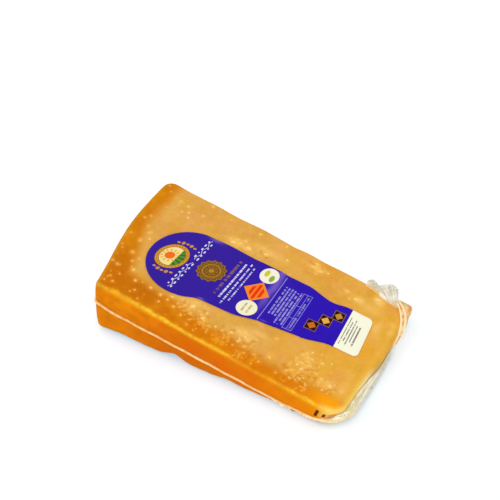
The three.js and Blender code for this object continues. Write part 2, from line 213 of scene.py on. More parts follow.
def corner_radius(at_rind, at_front, share):
    at_thin = np.where(
        at_front,
        mix(THIN_FRONT_FOOT_RADIUS, THIN_FRONT_RADIUS, share),
        mix(THIN_BACK_FOOT_RADIUS, THIN_BACK_RADIUS, share),
    )
    return np.where(at_rind, np.where(at_front, RIND_FRONT_RADIUS, RIND_BACK_RADIUS), at_thin)


def chunk_form(share_x, share_y, share_z):
    x = lines_at(share_x, CHUNK_CELLS[0], LENGTH, PLAN_LINES)
    y = lines_at(share_y, CHUNK_CELLS[1], WIDTH, PLAN_LINES)
    height = upper_face(x, y)
    z = lines_at(share_z, CHUNK_CELLS[2], height, HEIGHT_LINES)
    at_rind, at_front, at_top = x < LENGTH / 2, y < WIDTH / 2, z > height / 2
    from_end = np.where(at_rind, x, LENGTH - x)
    from_side = np.where(at_front, y, WIDTH - y)
    from_face = np.where(at_top, height - z, z)

    # The edges of the upper face and the foot are rounded first, then the upright corners.
    edge_radius = np.where(at_top, TOP_EDGE_RADIUS, foot_radius(x, y))
    inset = np.minimum(from_end, from_side)
    on_edge = (inset < edge_radius) & (from_face < edge_radius)
    across, off = round_off(edge_radius - inset, edge_radius - from_face)
    pull = np.where(on_edge, edge_radius - across - inset, 0)
    from_face = np.where(on_edge, edge_radius - off, from_face)
    radius = corner_radius(at_rind, at_front, z / height)
    on_corner = (from_end < radius) & (from_side < radius)
    reach = np.where(on_corner, radius - inset, 1)
    shrink = (reach - pull) / reach
    along_end, along_side = round_off((radius - from_end) * shrink, (radius - from_side) * shrink)
    end_first = from_end < from_side
    from_end = np.where(on_corner, radius - along_end, from_end + pull * end_first)
    from_side = np.where(on_corner, radius - along_side, from_side + pull * ~end_first)
    return settle(
        np.where(at_rind, from_end, LENGTH - from_end),
        np.where(at_front, from_side, WIDTH - from_side),
        np.where(at_top, height - from_face, from_face) / height,
    )


def to_frame(x, y, z):
    """Millimetres from the chunk's corner as metres in the part's frame."""
    return np.column_stack([x - LENGTH / 2, y - WIDTH / 2, z]) / 1000


def carve(cells, form):
    """A block cut into cells, with every vertex where the form puts its three shares of the edges."""
    block = bmesh.new()
    bmesh.ops.create_cube(block, size=1, matrix=Matrix.Translation((0.5, 0.5, 0.5)))
    for axis, count in enumerate(cells):
        if count > 1:
            along = [e for e in block.edges if abs(e.verts[0].co[axis] - e.verts[1].co[axis]) > 0.5]
            bmesh.ops.subdivide_edges(block, edges=along, cuts=count - 1, use_grid_fill=True)
    shares = np.array([v.co for v in block.verts]).round(6).T
    for vert, place in zip(block.verts, to_frame(*form(*shares))):
        vert.co = place
    block.normal_update()
    return block


def in_millimetres(block):
    """The vertices' places as x, y and z in millimetres from the chunk's corner."""
    co = np.array([v.co for v in block.verts]).T * 1000
    return co[0] + LENGTH / 2, co[1] + WIDTH / 2, co[2]


def push_out(block, distance):
    """Moves every vertex along its normal by its own distance in millimetres."""
    block.normal_update()
    for vert, step in zip(block.verts, np.broadcast_to(distance, len(block.verts))):
        vert.co += vert.normal * (step / 1000)


def add_object(name, data):
    made = bpy.data.objects.new(name, data)
    bpy.context.scene.collection.objects.link(made)
    return made


def piece(name, block, material, shadow=True):
    """Turns a block into a smooth-shaded piece that rides on the root body."""
    bmesh.ops.recalc_face_normals(block, faces=block.faces)
    mesh = bpy.data.meshes.new(name)
    block.to_mesh(mesh)
    block.free()
    mesh.polygons.foreach_set("use_smooth", [True] * len(mesh.polygons))
    mesh.materials.append(material)
    made = add_object(name, mesh)
    made.visible_shadow = shadow
    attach(made, "root")
    return made


def turbulence(x, y, z, pitch, seed):
    """Seeded noise from about -1 to 1, whose lumps are about one pitch apart."""
    return np.array([
        noise.noise(Vector((a / pitch + seed, b / pitch - seed, c / pitch))) for a, b, c in zip(x, y, z)
    ])


def label_half_width(edge, s):
    stations, widths = zip(*edge)
    index = np.clip(np.searchsorted(stations, s), 1, len(stations) - 1)
    start, end = np.array(stations)[index - 1], np.array(stations)[index]
    body = mix(np.array(widths)[index - 1], np.array(widths)[index], fade(s, start, end))
    head = edge[0][1] * np.sqrt(np.clip(1 - (s / LABEL_HEAD_REACH) ** 2, 0, 1))
    return np.where(s <= 0, head, body)


def on_label(x, y):
    """The way along and across the label, from the middle of its head."""
    x, y = x - LABEL_HEAD[0], y - LABEL_HEAD[1]
    along = x * math.cos(LABEL_TURN) + y * math.sin(LABEL_TURN)
    return along, y * math.cos(LABEL_TURN) - x * math.sin(LABEL_TURN)


def under_label(x, y):
    """1 well inside the label's outline, easing to 0 just outside it."""
    s, t = on_label(x, y)
    t = t - LABEL_HEAD_SKEW * np.minimum(s, 0)
    half = np.where(t > 0, label_half_width(LABEL_BACK_EDGE, s), label_half_width(LABEL_FRONT_EDGE, s))
    inside = np.minimum(half - np.abs(t), LABEL_TAIL - s)
    return np.where(half > 0, fade(inside, -2, 1), 0)


def torn_share(x, y):
    """1 where the sawn face is torn and crumbly, 0 where it is smooth."""
    return np.clip(1.25 * sum(bell(np.hypot(x - a, y - b), spread) for a, b, spread in TORN_PLACES), 0, 1)


def crumbs(x, y, z):
    """Rounded lumps of torn paste, from about -1 in the gaps to 1 on the lumps."""
    nearest = np.array([
        noise.voronoi(Vector((a / 4.6, b / 3.8, c / 4)))[0][0] for a, b, c in zip(x, y, z)
    ])
    return np.clip(0.9 - 1.8 * nearest + 0.75 * turbulence(x, y, z, 2.6, 8), -1, 1)


def relief(x, y, z):
    """Fine unevenness of the paste under its film: torn crumb, waxy waviness, dents in the rind."""
    on_top = fade(z, 0.55 * upper_face(x, y), 0.9 * upper_face(x, y))
    torn = torn_share(x, y) * fade(y, 1, 7) * on_top
    crumb = np.where(torn > 0.02, crumbs(x, y, z), 0) * torn
    waxy = 0.12 * turbulence(x, y, z, 9, 5) + 0.05 * turbulence(x, y, z, 3.5, 2)
    dents = 0.3 * turbulence(x, y, z, 19, 12) * (1 - fade(y, 1, 6))
    at_foot = 0.35 * turbulence(x, y, z, 6, 15) * (1 - fade(z, 2, 9)) * fade(z, 0, 1.5)
    clear = 1 - under_label(x, y) * on_top
    return (0.45 * crumb + waxy) * clear + dents + at_foot, crumb * clear


def note(block, name, values):
    """Keeps one number for each vertex, for a material to read."""
    layer = block.verts.layers.float.new(name)
    for vert, value in zip(block.verts, values):
        vert[layer] = float(value)


def stand_on_ground(block):
    for vert in block.verts:
        vert.co.z = max(vert.co.z, 0)


def seam_height(x, y):
    """Height of the middle of the film's welded seam, which presses into the rind."""
    drop = mix(SEAM_DROP_AT_RIND, SEAM_DROP_AT_THIN_END, x / LENGTH) - 2.4 * bell(x, 9)
    lowest = mix(SEAM_LOWEST_AT_FRONT, SEAM_LOWEST, fade(y, 4, 45))
    # It follows the slope of the upper face, then eases onto a low line near the ground.
    over = cut_height(x) - drop - lowest
    return lowest + (over + np.hypot(over, 2)) / 2 - 0.5


chunk = carve(CHUNK_CELLS, chunk_form)
x, y, z = in_millimetres(chunk)
unevenness, crumb = relief(x, y, z)
by_seam = z - seam_height(x, y)
groove = GROOVE_DEPTH * bell(by_seam, SEAM_WIDTH) * (1 - fade(x, LENGTH - 40, LENGTH - 20))
push_out(chunk, unevenness - groove)
stand_on_ground(chunk)

cheese_block = chunk.copy()
note(cheese_block, "crumb", crumb)
note(cheese_block, "by_seam", by_seam)
push_out(cheese_block, -FILM_GAP)
x, y, z = in_millimetres(cheese_block)
depth = cut_height(x) - z
full_down_to = 1 + 7 * fade(y, 22, 74)  # the thin end keeps its place this far below the upper face
retreat = END_RETREAT * fade(x, LENGTH - 30, LENGTH) * fade(depth, full_down_to, full_down_to + 7)
for vert, step in zip(cheese_block.verts, retreat):
    vert.co.x -= step / 1000
stand_on_ground(cheese_block)


def operation(name):
    """A Math node of this kind, on a tone and the others it is given."""
    return lambda tone, *others: tone.math(name, tone, *others)


class Tone:
    """A shader socket that takes part in sums and products as a number does."""

    def __init__(self, tree, socket=None):
        self.tree, self.socket = tree, socket

    def node(self, kind, settings={}, inputs={}, output=0):
        """Adds a node: its settings first, then the values or links of its sockets."""
        made = self.tree.nodes.new(kind)
        for name, value in settings.items():
            setattr(made, name, value)
        for name, value in inputs.items():
            if isinstance(value, Tone):
                self.tree.links.new(value.socket, made.inputs[name])
            else:
                made.inputs[name].default_value = value
        return Tone(self.tree, made.outputs[output])

    def math(self, operation, *terms):
        return self.node("ShaderNodeMath", {"operation": operation}, dict(enumerate(terms)))

    __add__ = __radd__ = operation("ADD")
    __sub__ = operation("SUBTRACT")
    __mul__ = __rmul__ = operation("MULTIPLY")
    __truediv__ = operation("DIVIDE")
    __abs__ = operation("ABSOLUTE")
    least = operation("MINIMUM")
    most = operation("MAXIMUM")
    sine = operation("SINE")

    def __rsub__(self, other):
        return self.math("SUBTRACT", other, self)

    def reach(self, other):
        """How far the point with this x and the other as y lies from 0, 0."""
        return self.math("SQRT", self * self + other * other)

    def fade(self, start, end):
        """0 before start, 1 after end, eased between."""
        settings = {"interpolation_type": "SMOOTHSTEP"}
        return self.node("ShaderNodeMapRange", settings, {"Value": self, "From Min": start, "From Max": end})

    def bell(self, spread):
        return self.math("EXPONENT", (self / spread) * (self / spread) * -1)

    def tint(self, under, over):
        """The under colour where this mask is 0 and the over colour where it is 1."""
        settings = {"data_type": "RGBA", "clamp_factor": True}
        return self.node("ShaderNodeMix", settings, {0: self, 6: under, 7: over}, output=2)

    def parts(self):
        """The three numbers of a place or a colour."""
        split = self.node("ShaderNodeSeparateXYZ", {}, {0: self}).socket.node
        return [Tone(self.tree, socket) for socket in split.outputs]

    def scaled(self, *scale):
        """The place with its x, y and z multiplied, which stretches a pattern."""
        return self.node("ShaderNodeMapping", {}, {"Vector": self, "Scale": scale})

    def grain(self, scale, detail):
        """Soft noise around 0.5 at this place."""
        return self.node("ShaderNodeTexNoise", {}, {"Vector": self, "Scale": scale, "Detail": detail})

    def bumps(self, strength, depth):
        """The normal of a surface that this height pattern bumps by at most so many millimetres."""
        inputs = {"Strength": strength, "Distance": depth / 1000, "Height": self}
        return self.node("ShaderNodeBump", {}, inputs)

    def noted(self, name):
        """The number that note keeps for each vertex."""
        return self.node("ShaderNodeAttribute", {"attribute_name": name}, output=2)


def rgb(red, green, blue):
    """A colour in 0 to 255 display values as the shader's linear one."""
    shares = [value / 255 for value in (red, green, blue)]
    return (*(c / 12.92 if c <= 10 / 255 else ((c + 0.055) / 1.055) ** 2.4 for c in shares), 1)


def layered(colour, *layers):
    """Lays colours over one another where their masks say: (mask, red, green, blue) or (mask, colour)."""
    for mask, *over in layers:
        colour = mask.tint(colour, rgb(*over) if len(over) == 3 else over[0])
    return colour


def finish(name, **constants):
    """A new material with these constant sockets. Returns the function that joins patterns to it,
    the surface point, and the point's x, y and z in millimetres from the chunk's corner."""
    material = bpy.data.materials.new(name)
    material.use_nodes = True
    tree = material.node_tree
    sockets = tree.nodes["Principled BSDF"].inputs
    for socket, value in constants.items():
        sockets[socket.replace("_", " ")].default_value = value

    def paint(**patterns):
        for socket, tone in patterns.items():
            tree.links.new(tone.socket, sockets[socket.replace("_", " ")])
        return material

    point = Tone(tree).node("ShaderNodeTexCoord", output=3)
    x, y, z = (part * 1000 for part in point.parts())
    return paint, point, x + LENGTH / 2, y + WIDTH / 2, z


def aged_paste():
    paint, point, x, y, z = finish(
        "aged_cheese_paste", Specular_IOR_Level=0.0, IOR=1.45, Coat_Weight=0.06, Coat_Roughness=0.16,
    )
    depth = cut_height(x) - z
    broad, medium, small, fine, warm, rosy = (
        point.grain(scale, detail) - 0.5
        for scale, detail in ((38, 3), (130, 3), (330, 2), (620, 1), (24, 2), (75, 2))
    )
    drift = broad * 2 + medium

    # Paste: straw yellow, a little lighter and warmer towards the thin end, faintly mottled.
    paste = layered(
        rgb(224, 165, 74),
        (x.fade(110, 206), 233, 171, 52),
        (medium * 1.6 + broad * 1.8 + 0.05, 239, 186, 98),
        (0 - broad * 2 - medium * 1.2, 206, 138, 46),
        (warm * 2.4 * x.fade(70, 150), 238, 160, 36),
        (rosy * 2, 228, 156, 84),
        ((0 - rosy) * 2, 226, 174, 60),
    )
    for at_x, at_y, along, across, strength in PALE_PATCHES:
        patch = (x - at_x + drift * 2.2).bell(along) * (y - at_y + drift * 1.6).bell(across)
        paste = layered(paste, (patch * strength, 255, 209, 116))

    # The rind's colour soaks into the paste in a band along the rind end and the front face.
    from_end = x + SWELL * (y - SWELL_MIDDLE).bell(SWELL_SPREAD)
    end_start = 5.5 + 8 * (1 - y.fade(15, 75)) + drift * 5
    end_band = 1 - ((from_end - end_start) / 14).fade(0, 1)
    front_start = 5.5 + 11 * (1 - x.fade(20, 105)) + (x - 100).bell(38) * 2 + drift * 5
    front_band = 1 - ((y - front_start) / 14.5).fade(0, 1)
    soaked = end_band.most(front_band)
    deep = layered(
        rgb(202, 112, 3),
        (x.fade(25, 110), 222, 124, 3),
        (x.fade(166, 194), 250, 153, 3),
        (y.fade(20, 60) * (1 - x.fade(15, 30)), 211, 125, 4),
    )
    end_skin = layered(
        rgb(203, 136, 24),
        (depth.fade(2, 18), 204, 122, 12),
        ((broad * 1.6 + medium * 1.2).fade(0, 0.5), 222, 150, 34),
        ((0 - broad * 1.6 - medium).fade(0.05, 0.5) * 0.7, 166, 88, 8),
        ((small + medium).fade(0.12, 0.4) * depth.fade(3, 8) * 0.5, 236, 186, 96),
    )

    # The rind itself: bright along the upper edge and deeper orange lower down, painted shade for
    # the light falling from above. It is also deeper orange in the middle of its length.
    bright = 1 - x.fade(0, 85) + x.fade(112, 172) + broad * 0.8
    light_skin = layered(rgb(244, 150, 7), (depth.fade(0, 8), 238, 133, 2), (depth.fade(8, 36), 232, 130, 3))
    skin = layered(
        rgb(234, 124, 2),
        (depth.fade(0, 6), 228, 99, 2),
        (depth.fade(6, 34), 212, 98, 3),
        (bright.fade(0, 1), light_skin),
        ((medium * 0.4 + broad) * 1.1, 242, 146, 6),
        (x.fade(176, 190) * depth.fade(4, 10) * 0.7, 204, 122, 14),
    )
    ragged = 0.6 + medium * 3
    # Painted highlight: a bright golden line along the rounded upper front edge, partly also the paler thin
    # rind there.
    lip = (y - 1 - medium * 2.6 - broad * 2.4).bell(1.35) * (depth + 0.3).bell(2.6)
    lip = lip * (0.62 + x.fade(25, 60) * 0.5)
    off_seam = abs(point.noted("by_seam"))
    # Painted shade: darker strips on both sides of the seam, beside the groove it presses into the rind.
    seam_side_shade = off_seam.fade(0.6, 1.3) * (1 - off_seam.fade(1.3, 3.4)) * (1 - y.fade(1, 12))

    # The rounded rim and the corners of the thin end: paler and clearer yellow.
    corner = (x - 193 + drift * 4).bell(9) * (y - 8.5 + drift * 4).bell(5)
    to_thin_end = (x - 204.5 - broad * 8).bell(3) * y.fade(6, 14)
    # Painted light: lightens the paste just below the thin end's rim, where it lies in shade behind the film.
    over_edge = x.fade(199, 204) * depth.fade(0.4, 2.4) * (1 - y.fade(40, 58))
    rim = (x - 194).most(0).reach((13 - y).most(0))
    rim = (rim - 11.6 - drift * 2.5).bell(2.7) * x.fade(184, 197) * (1 - y.fade(16, 55))
    colour = layered(
        paste,
        (soaked.fade(0, 0.62), 219, 147, 46),
        (soaked.fade(0.4, 1), deep),
        ((medium * 1.6 + broad) * soaked, 234, 152, 16),
        ((0 - medium * 1.2 - broad) * soaked * (1 - x.fade(150, 185)), 190, 100, 2),
        (1 - from_end.fade(0.5, 4.5), end_skin),
        (1 - (y - ragged).fade(-1.3, 1.1), skin),
        (lip * (1 + small * 2.4), 255, 198, 46),
        (seam_side_shade * 0.55, 198, 100, 8),
        (corner * 0.9, 255, 164, 0),
        (to_thin_end * 0.35, 246, 196, 76),
        (over_edge * 0.8, 255, 232, 164),
        (rim * 0.9, 255, 220, 106),
    )

    # The ink on the rind, and the streaked paste behind the seam's crossing.
    front = point.node("ShaderNodeCombineXYZ", {}, {0: x, 1: z})
    for at_x, at_z, lean, length, width in RIND_MARKS:
        inputs = {"Vector": front, "Location": (at_x, at_z, 0), "Rotation": (0, 0, lean)}
        across, along, _ = point.node("ShaderNodeMapping", {"vector_type": "TEXTURE"}, inputs).parts()
        inside = 1 - abs(across).fade(width / 2 - 0.2, width / 2 + 0.3)
        inside = inside * (1 - abs(along).fade(length / 2 - 0.3, length / 2 + 0.3))
        colour = layered(colour, (inside * (1 - y.fade(4, 6)) * 0.95, 74, 22, 6))
    past_x = (x - CROSSING_CENTRE[0]) / CROSSING_REACH[0]
    past_y = (y - CROSSING_CENTRE[1]) / CROSSING_REACH[1]
    past = past_x.reach(past_y).fade(0.97, 1.06) * x.fade(188, 191) * y.fade(88, 96)
    streaked = point.scaled(1, 0.3, 1).grain(420, 2)
    beyond = layered(
        rgb(226, 152, 74),
        (streaked.fade(0.4, 0.6), 244, 206, 156),
        ((broad * 2 + medium).fade(0, 0.3) * 0.8, 204, 192, 132),
    )

    # Torn paste: pale lumps with amber between them, partly their own colour and partly painted light on
    # the lumps' tops and painted shade in the gaps. Then the light scattered round each crystal,
    # flecks too small to be modelled, and a fine crumb.
    crumb = point.noted("crumb")
    lumps = crumb * 0.7 + (medium * 2.6 + small * 0.6) * abs(crumb).fade(0.02, 0.2)
    sawn_back = depth.fade(2, 6) * y.fade(100, 112) * from_end.fade(6, 14) * (1 - past)
    cell = point.node("ShaderNodeTexVoronoi", {}, {"Vector": point, "Scale": 300.0})
    chance = Tone(point.tree, cell.socket.node.outputs["Color"]).parts()[0]
    glow = y.fade(6, 24).tint(rgb(242, 160, 34), rgb(248, 190, 86))
    flecks = (1 - cell.fade(0.05, 0.26)) * chance.fade(0.66, 0.8) * (0.2 + soaked + sawn_back) * y.fade(3, 8)
    colour = layered(
        colour,
        (past, beyond),
        ((broad * 1.4 + medium * 1.4 + small).fade(0.12, 0.5) * sawn_back * 0.6, 248, 202, 112),
        ((0 - medium * 1.6 - small).fade(0.1, 0.5) * sawn_back * 0.5, 196, 122, 30),
        (lumps.fade(0.02, 0.55) * 0.7, y.fade(7, 24).tint(rgb(240, 158, 28), rgb(248, 202, 106))),
        ((0 - lumps).fade(0.05, 0.5) * 0.55, 212, 116, 6),
        (point.noted("halo") * (0.65 + small * 1.5), glow),
        (flecks * 0.35, y.fade(6, 24).tint(rgb(246, 170, 40), rgb(250, 190, 84))),
        (fine * 0.35 * (1.2 - soaked), 246, 200, 120),
        ((0 - fine) * 0.3, 176, 104, 20),
    )
    bumps = (fine * 0.4 + small * 0.8 + medium).bumps(0.3, 0.4)
    return paint(Base_Color=colour, Roughness=0.5 + fine * 0.4, Normal=bumps)


cheese = piece("cheese", cheese_block, aged_paste())


# ---------------------------------------------------------------------------------------------
# Tyrosine crystals and loosened flakes: hard white grains of amino acid that grow in the paste as
# it ages, and pale chips of paste. They sit in the sawn face and the film holds them down.

GRAINS = [  # x, y, width: the large ones
    (77.5, 22, 2.6), (16.6, 27, 2.8), (22.7, 19.2, 2.2), (7.6, 53.6, 2.9), (137.3, 17.8, 3.4),
    (9.1, 8.6, 2), (52.4, 22.7, 2.6), (4.2, 24.7, 2.1), (159.5, 36.4, 2.4), (8, 40.6, 2.4),
    (82.3, 17.9, 2.5), (172.8, 35.1, 2.6), (126.9, 13.8, 2), (44.2, 19.1, 2.4), (153.1, 15.1, 2.6),
    (57.3, 15.4, 2.3), (46, 12.8, 2.1), (26.5, 11.1, 2.2), (35, 20.3, 2.2), (22.6, 101.1, 2.3),
    (3.3, 6.7, 2), (12.7, 58.3, 2.1), (64.3, 21.3, 2.8), (165.2, 12.9, 2.4), (158.2, 10.2, 2.3),
    (65.1, 12.2, 2.2), (73, 7.1, 1.8), (157.4, 24.4, 2.2), (97.6, 17.8, 2.2), (133, 107.7, 2.2),
    (72.1, 11.8, 1.7), (170.9, 5.4, 1.8), (114.3, 23, 1.9), (50.6, 18.3, 1.8), (132.2, 10.1, 2.2),
    (119.3, 10.6, 2.2), (116.8, 15.2, 2.4), (109.6, 11.3, 1.6), (70.3, 18, 2.2), (5.2, 12.4, 1.9),
    (172.3, 7.4, 1.8), (81.2, 24.6, 1.8), (161.1, 17.5, 2.2), (170.9, 11.6, 2.1), (158.4, 103.5, 2),
    (6.3, 68.2, 1.8), (147.2, 8.9, 2.2), (134.2, 34.8, 2.2), (10.8, 64.7, 1.9), (80, 110.3, 2.4),
    (16, 102, 2.2), (162.2, 39.3, 2), (38.2, 112.2, 2.2), (15.4, 38.2, 2), (108.1, 101.2, 1.8),
    (165, 33.9, 2), (12, 33.6, 1.8), (25.3, 96.2, 1.9), (27, 92, 1.7), (36, 100, 1.7), (195.9, 21.6, 3),
    (139, 109, 1.9), (162.5, 98, 2.1), (102, 112, 1.9), (61, 18, 1.8), (88, 9.7, 1.8),
]
FLAKES = [  # x, y, length, width, turn: pale chips of paste
    (66, 92.6, 8, 3, 0.3), (71, 94.5, 4.6, 2.4, 1), (78.5, 94, 6, 3.4, 0.1), (92, 96.8, 4.6, 2.2, 0.4),
    (128.5, 108.6, 9, 1.8, 0.15), (134.5, 107.6, 4.5, 2, 0.7), (69.5, 23.5, 6, 3.5, 0.8),
    (80.5, 20, 5, 2.6, 0.4), (186.5, 20, 6, 4.6, 0.4), (167.5, 100.4, 5, 3.4, 0.2),
    (181.5, 109.5, 6, 3.2, 0.5), (157, 34, 4.5, 1.6, 0.3), (112, 17, 4.4, 2, 0.9), (104, 20, 3.6, 2, 0.2),
    (162, 22, 4, 2.2, 1.1),
]
SMALL_GRAINS = 60
CLUSTERS = [  # x, y, spread, count: fine dots crowded together
    (169.5, 9.6, 3, 20), (162.4, 13.6, 2.8, 12), (117.5, 5.2, 3.2, 12), (155, 4.6, 2, 4), (172, 35.6, 3, 5),
    (77, 12, 4, 8), (100, 9, 4, 6),
]
SLOPE = math.atan((RIND_HEIGHT - THIN_HEIGHT) / LENGTH)
GRAIN_FLATNESS = 0.42  # thickness as a share of the smaller width
GRAIN_LUMPS = 0.38  # how uneven a grain is, as a share of its radius


def add_grain(grains, x, y, length, width, turn, rise):
    """One irregular low dome, sunk in the paste so that only its top shows."""
    at = np.array([x]), np.array([y])
    face = upper_face(*at)
    surface = face + relief(*at, face)[0] - FILM_GAP
    thickness = GRAIN_FLATNESS * min(length, width)
    centre = to_frame(*at, surface + rise - thickness / 2)[0]
    turned = Matrix.Rotation(SLOPE, 4, "Y") @ Matrix.Rotation(turn, 4, "Z")
    sized = Matrix.Diagonal((length / 1000, width / 1000, thickness / 1000, 1))
    made = bmesh.ops.create_icosphere(
        grains, subdivisions=2, radius=0.5, matrix=Matrix.Translation(centre) @ turned @ sized,
    )
    for vert in made["verts"]:
        away = vert.co - Vector(centre)
        lumps = noise.noise(away * (2200 / max(width, 1.5)) + Vector((x, y, 0)))
        vert.co = Vector(centre) + away * (1 + GRAIN_LUMPS * lumps)


def crystal_white():
    paint, point, x, y, z = finish("tyrosine_white", Roughness=0.5, Specular_IOR_Level=0.1)
    fine = point.grain(900, 2)
    near_rind = (1 - (x + 5).fade(8, 26)).most(1 - y.fade(6, 20))
    colour = layered(
        rgb(246, 190, 96),
        (point.grain(170, 1).fade(0.35, 0.65), 255, 216, 136),
        (near_rind * 0.72, 242, 164, 52),
        (y.fade(84, 92) * x.fade(45, 60) * 0.35, 255, 222, 140),
        ((fine - 0.5) * 1.2, 255, 234, 180),
    )
    return paint(Base_Color=colour, Normal=fine.bumps(0.4, 0.2))


chance = random.Random(11)
grains = bmesh.new()
bright_spots = []
for x, y, width in GRAINS:
    length = width * chance.uniform(0.9, 1.25)
    add_grain(grains, x, y, length, width * 0.85, chance.uniform(0, 3), rise=0.14)
    bright_spots.append((x, y, 0.75 * width))
for x, y, length, width, turn in FLAKES:
    add_grain(grains, x, y, length, width, turn, rise=0.2)
    bright_spots.append((x, y, 0.5 * length))
placed = 0
while placed < SMALL_GRAINS:
    x, y = chance.uniform(-4, 198), chance.uniform(4, 113)
    near_rind = 0.75 * math.exp(-max(x + 4, 0) / 22)
    near_front = 0.45 * math.exp(-max(y - 4, 0) / 12)
    torn = sum(0.7 * math.exp(-(((x - a) ** 2 + (y - b) ** 2) / spread**2)) for a, b, spread in TORN_PLACES)
    clear = under_label(np.array([x]), np.array([y]))[0] < 0.01
    inside = x > 2.5 - SWELL * bell(y - SWELL_MIDDLE, SWELL_SPREAD)
    if clear and inside and chance.random() < 0.05 + near_rind + near_front + torn:
        width = chance.uniform(0.9, 2)
        length = width * chance.uniform(0.9, 1.4)
        add_grain(grains, x, y, length, width, chance.uniform(0, 3), rise=0.08)
        bright_spots.append((x, y, 0.6 * width))
        placed += 1
for at_x, at_y, spread, count in CLUSTERS:
    for _ in range(count):
        x, y = chance.gauss(at_x, spread), max(chance.gauss(at_y, spread), 2.2)
        width = chance.uniform(0.8, 1.3)
        add_grain(grains, x, y, width, width * 0.9, turn=0, rise=0.1)
        bright_spots.append((x, y, 0.5 * width))
piece("crystals", grains, crystal_white())

cheese_co = np.array([v.co for v in cheese.data.vertices]).T * 1000
x, y = cheese_co[0] + LENGTH / 2, cheese_co[1] + WIDTH / 2
glow = sum(bell(np.hypot(x - at_x, y - at_y), reach) for at_x, at_y, reach in bright_spots)
glow = np.minimum(glow, 1) * fade(cheese_co[2], 8, 14)
cheese.data.attributes.new("halo", "FLOAT", "POINT").data.foreach_set("value", glow)


# ---------------------------------------------------------------------------------------------
# The shrink film: a clear multilayer bag, drawn tight on the cheese by hot water after the air is
# pumped out. It hugs the paste everywhere but at the thin end, where it bridges from the upper
# edge to the ground in fine pleats.

SKIRT_STAND_OFF = 1.1
PLEAT_DEPTH = 0.3
CRACKLE_DEPTH = 1.1


def film_clear():
    """Nearly invisible where tight, creamy where it is slack: the attribute says how slack."""
    # The film glows a little: painted light, for light shining through it.
    paint, point, x, y, z = finish("shrink_film", Roughness=0.14, IOR=1.5, Emission_Strength=0.22)
    slack = point.noted("slack")
    drawn = {"Vector": point, "Rotation": (0, 0.5, 0.3), "Scale": (1, 0.22, 1)}
    streaks = point.node("ShaderNodeMapping", {}, drawn).grain(160, 1)
    facets = point.grain(190, 1) - 0.5
    # Painted glints: thin white lines along the crests of the crinkles; the shaded lines are painted shade in
    # their folds.
    glint_lines = (1 - abs(point.grain(260, 1) - 0.5).fade(0, 0.07)) * facets.fade(-0.06, 0.08)
    shaded = 1 - abs(point.grain(300, 1) - 0.47).fade(0, 0.06)
    at_corner = 1 - y.fade(12, 48)
    # Painted shade: a dark brown line along the fold where the slack film leaves the cheese.
    crease = slack.fade(0.02, 0.1) * (1 - slack.fade(0.16, 0.36)) * (streaks * 1.6 - 0.05)
    crease = crease * (0.16 + (y - 62).bell(17) * 0.9)
    milk = slack * (1.2 + (streaks - 0.5) * 0.4 + (1 - y.fade(38, 56)) * 3)
    colour = layered(
        rgb(216, 204, 164),
        (streaks.fade(0.36, 0.6), 244, 238, 214),
        ((0 - facets) * at_corner * 6, 218, 200, 142),
        (at_corner * shaded * 0.5, 196, 164, 108),
        (at_corner * glint_lines * 0.9, 255, 251, 222),
        # Painted shade: greyer low down, where the shadowed sheet shows through the film.
        ((1 - z.fade(1, 8)) * (1 - y.fade(60, 85)) * 0.75, 212, 210, 202),
        (crease * 1.3, 146, 92, 26),
    )
    alpha = milk.least(0.97).most(crease).most(0.003)
    bumps = ((streaks + (glint_lines - shaded * 0.5) * at_corner) * slack).bumps(0.2, 0.5)
    return paint(Base_Color=colour, Emission_Color=colour, Alpha=alpha, Normal=bumps)


film_block = chunk
x, y, z = in_millimetres(film_block)
depth = cut_height(x) - z
bridge_top = 1 + 8 * fade(y, 22, 74)  # the film leaves the cheese this far below the upper face
at_end = fade(x, LENGTH - 16, LENGTH + 1) * fade(depth, bridge_top, bridge_top + 4)
at_end = at_end * mix(0.06, 1, fade(y, 1, 9))
pleats = wave(x + y, 13.5, 0) * wave(x + y, 31, 1) + 0.3 * turbulence(x, y, 0.3 * z, 6, 4)
near_corner = 1 - fade(y, 15, 45)
crackle = (np.abs(turbulence(x, y, z, 6, 9)) - 0.25) * (0.15 + near_corner)
push_out(film_block, at_end * (SKIRT_STAND_OFF + PLEAT_DEPTH * pleats + CRACKLE_DEPTH * crackle))
stand_on_ground(film_block)
note(film_block, "slack", at_end)
film = piece("film", film_block, film_clear(), shadow=False)
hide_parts("sealed_bag")


# ---------------------------------------------------------------------------------------------
# The welded seam: two plies of film fused into a rounded ridge. It runs from the ear down the back
# face, round the rind end and along the front face to the foot of the thin end.

SEAM_FRONT_CORNER_RADIUS = 23
SEAM_CLIMB_START = 140  # from here on it climbs along the back face to the ear
SEAM_ROOT = 1.5  # how deep its root is sunk in the film
SEAM_RIPPLE = 0.25
SEAM_EXTRA_AT_THIN_END = 1.2  # how much further it stands off there, on the stretched film
SEAM_STEP = 1.2
SEAM_FADE_CELLS = (5, 9)  # it thins out over this many steps where the strands take over
EAR_END = 197


def follow(legs, step):
    """Even stations along straight runs (x, y to x, y) and arcs (centre, radius, two angles)."""
    stations = []
    for leg in legs:
        if len(leg) == 4:
            start, end = Vector(leg[:2]), Vector(leg[2:])
            count = round((end - start).length / step)
            out = Vector((end.y - start.y, start.x - end.x)).normalized()
            stations += [(*start.lerp(end, i / count), *out) for i in range(count)]
        else:
            centre_x, centre_y, radius, start, end = leg
            count = max(3, round(radius * abs(end - start) / step))
            for i in range(count):
                angle = mix(start, end, i / count)
                out = (math.cos(angle), math.sin(angle))
                stations.append((centre_x + radius * out[0], centre_y + radius * out[1], *out))
    return np.array(stations).T


